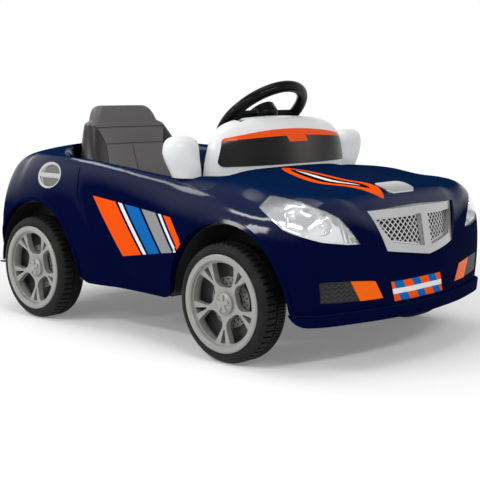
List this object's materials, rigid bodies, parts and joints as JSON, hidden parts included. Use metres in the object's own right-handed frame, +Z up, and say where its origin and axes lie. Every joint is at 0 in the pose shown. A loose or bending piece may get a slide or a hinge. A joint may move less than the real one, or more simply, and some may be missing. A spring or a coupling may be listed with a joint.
{
  "type": "electric ride-on car",
  "caption": "Child's battery ride-on car with dark blue moulded body, white dash cowl, grey bucket seat, steerable front wheels, drive pedal, rocker switch and silver five-spoke wheels.",
  "frame": {"origin": "on the ground, at the middle of the bottom of the car's bounding box", "axes": "+X forward along the car, +Y to its left, +Z up"},
  "size_m": [1.0383, 0.636, 0.5326],
  "materials": {
    "body_paint": "high gloss dark blue moulded plastic",
    "clear_lens": "clear moulded lens",
    "bright_reflector": "bright metallised reflector",
    "black_plastic": "satin black plastic",
    "orange_lamp": "glossy orange",
    "red_lamp": "glossy red",
    "silver_plastic": "metallic silver plastic",
    "white_plastic": "glossy white plastic",
    "screen_black": "glossy black panel",
    "mirror_glass": "mirror foil",
    "seat_grey": "satin dark grey moulded plastic",
    "steel": "plated steel",
    "motor_steel": "plated motor can",
    "battery_case": "black battery case",
    "strap_black": "rubber strap",
    "loom_black": "black sheathed cable",
    "switch_red": "glossy red rocker",
    "dog_black": "black nylon",
    "tyre_black": "matt black moulded tyre",
    "rim_silver": "silver grey plastic",
    "cap_silver": "silver grey plastic"
  },
  "bodies": {
    "chassis": {"body_shell": "body_paint", "headlamp_lenses": "clear_lens", "headlamp_reflectors": "bright_reflector", "fog_grilles": "black_plastic", "marker_lamps": "orange_lamp", "tail_lamps": "red_lamp", "filler_caps": "silver_plastic", "grille_frame": "silver_plastic", "grille_mesh": "silver_plastic", "grille_backing": "black_plastic", "dash_cowl": "white_plastic", "windscreen_panel": "screen_black", "switch_bezel": "black_plastic", "switch_pin": "steel", "left_mirror": "white_plastic", "right_mirror": "white_plastic", "mirror_glasses": "mirror_glass", "seat_back": "seat_grey", "seat_base": "seat_grey", "seat_riser": "black_plastic", "floor_pan": "black_plastic", "body_screws": "steel", "column_bush": "black_plastic", "column_bracket": "black_plastic", "front_beam": "black_plastic", "kingpins": "steel", "rear_axle": "steel", "axle_blocks": "black_plastic", "gearbox": "black_plastic", "motor": "motor_steel", "battery": "battery_case", "battery_strap": "strap_black", "pedal_lugs": "black_plastic", "pedal_pin": "steel", "pedal_switch": "black_plastic", "charge_socket": "black_plastic", "wiring_loom": "loom_black", "bonnet_badge": "silver_plastic"},
    "steering": {"steering_wheel": "black_plastic", "steering_column": "steel"},
    "horn": {"horn_button": "black_plastic"},
    "left_knuckle": {"left_knuckle": "steel"},
    "right_knuckle": {"right_knuckle": "steel"},
    "tie_rod": {"tie_rod": "steel"},
    "pedal": {"drive_pedal": "black_plastic"},
    "direction": {"direction_switch": "switch_red"},
    "front_left_wheel": {"front_left_tyre": "tyre_black", "front_left_rim": "rim_silver", "front_left_hub_cap": "cap_silver"},
    "front_right_wheel": {"front_right_tyre": "tyre_black", "front_right_rim": "rim_silver", "front_right_hub_cap": "cap_silver"},
    "rear_left_wheel": {"rear_left_tyre": "tyre_black", "rear_left_rim": "rim_silver", "rear_left_hub_cap": "cap_silver"},
    "rear_right_wheel": {"rear_right_tyre": "tyre_black", "rear_right_rim": "rim_silver", "rear_right_hub_cap": "cap_silver", "drive_dog": "dog_black"}
  },
  "joints": [
    {"name": "steering_turn", "type": "hinge", "parent": "chassis", "child": "steering", "pos_m": [0.083, 0, 0.457], "axis": [-0.6428, 0, 0.766], "range_deg": [-40, 40]},
    {"name": "horn_press", "type": "slide", "parent": "steering", "child": "horn", "axis": [0.6428, 0, -0.766], "range_m": [0, 0.003], "stiffness_N_per_m": 400},
    {"name": "left_knuckle_turn", "type": "hinge", "parent": "chassis", "child": "left_knuckle", "pos_m": [0.267, 0.228, 0.115], "axis": [0, 0, 1], "range_deg": [-18, 18]},
    {"name": "right_knuckle_turn", "type": "hinge", "parent": "chassis", "child": "right_knuckle", "pos_m": [0.267, -0.228, 0.115], "axis": [0, 0, 1], "range_deg": [-18, 18]},
    {"name": "tie_rod_pivot", "type": "hinge", "parent": "right_knuckle", "child": "tie_rod", "pos_m": [0.315, -0.228, 0.146], "axis": [0, 0, 1], "range_deg": [-18, 18]},
    {"name": "front_left_wheel_spin", "type": "hinge", "parent": "left_knuckle", "child": "front_left_wheel", "pos_m": [0.267, 0.284, 0.115], "axis": [0, 1, 0], "continuous": true},
    {"name": "front_right_wheel_spin", "type": "hinge", "parent": "right_knuckle", "child": "front_right_wheel", "pos_m": [0.267, -0.284, 0.115], "axis": [0, 1, 0], "continuous": true},
    {"name": "rear_left_wheel_spin", "type": "hinge", "parent": "chassis", "child": "rear_left_wheel", "pos_m": [-0.333, 0.284, 0.115], "axis": [0, 1, 0], "continuous": true},
    {"name": "rear_right_wheel_spin", "type": "hinge", "parent": "chassis", "child": "rear_right_wheel", "pos_m": [-0.333, -0.284, 0.115], "axis": [0, 1, 0], "continuous": true},
    {"name": "pedal_press", "type": "hinge", "parent": "chassis", "child": "pedal", "pos_m": [0.168, -0.095, 0.124], "axis": [0, 1, 0], "range_deg": [0, 12], "stiffness_Nm_per_rad": 2},
    {"name": "direction_rock", "type": "hinge", "parent": "chassis", "child": "direction", "pos_m": [0.08818, -0.118, 0.40308], "axis": [0, 1, 0], "range_deg": [-8, 8]}
  ],
  "couplings": [
    {"joint": "left_knuckle_turn", "follows": "steering_turn", "ratio": 0.45},
    {"joint": "right_knuckle_turn", "follows": "steering_turn", "ratio": 0.45},
    {"joint": "tie_rod_pivot", "follows": "steering_turn", "ratio": -0.45}
  ]
}
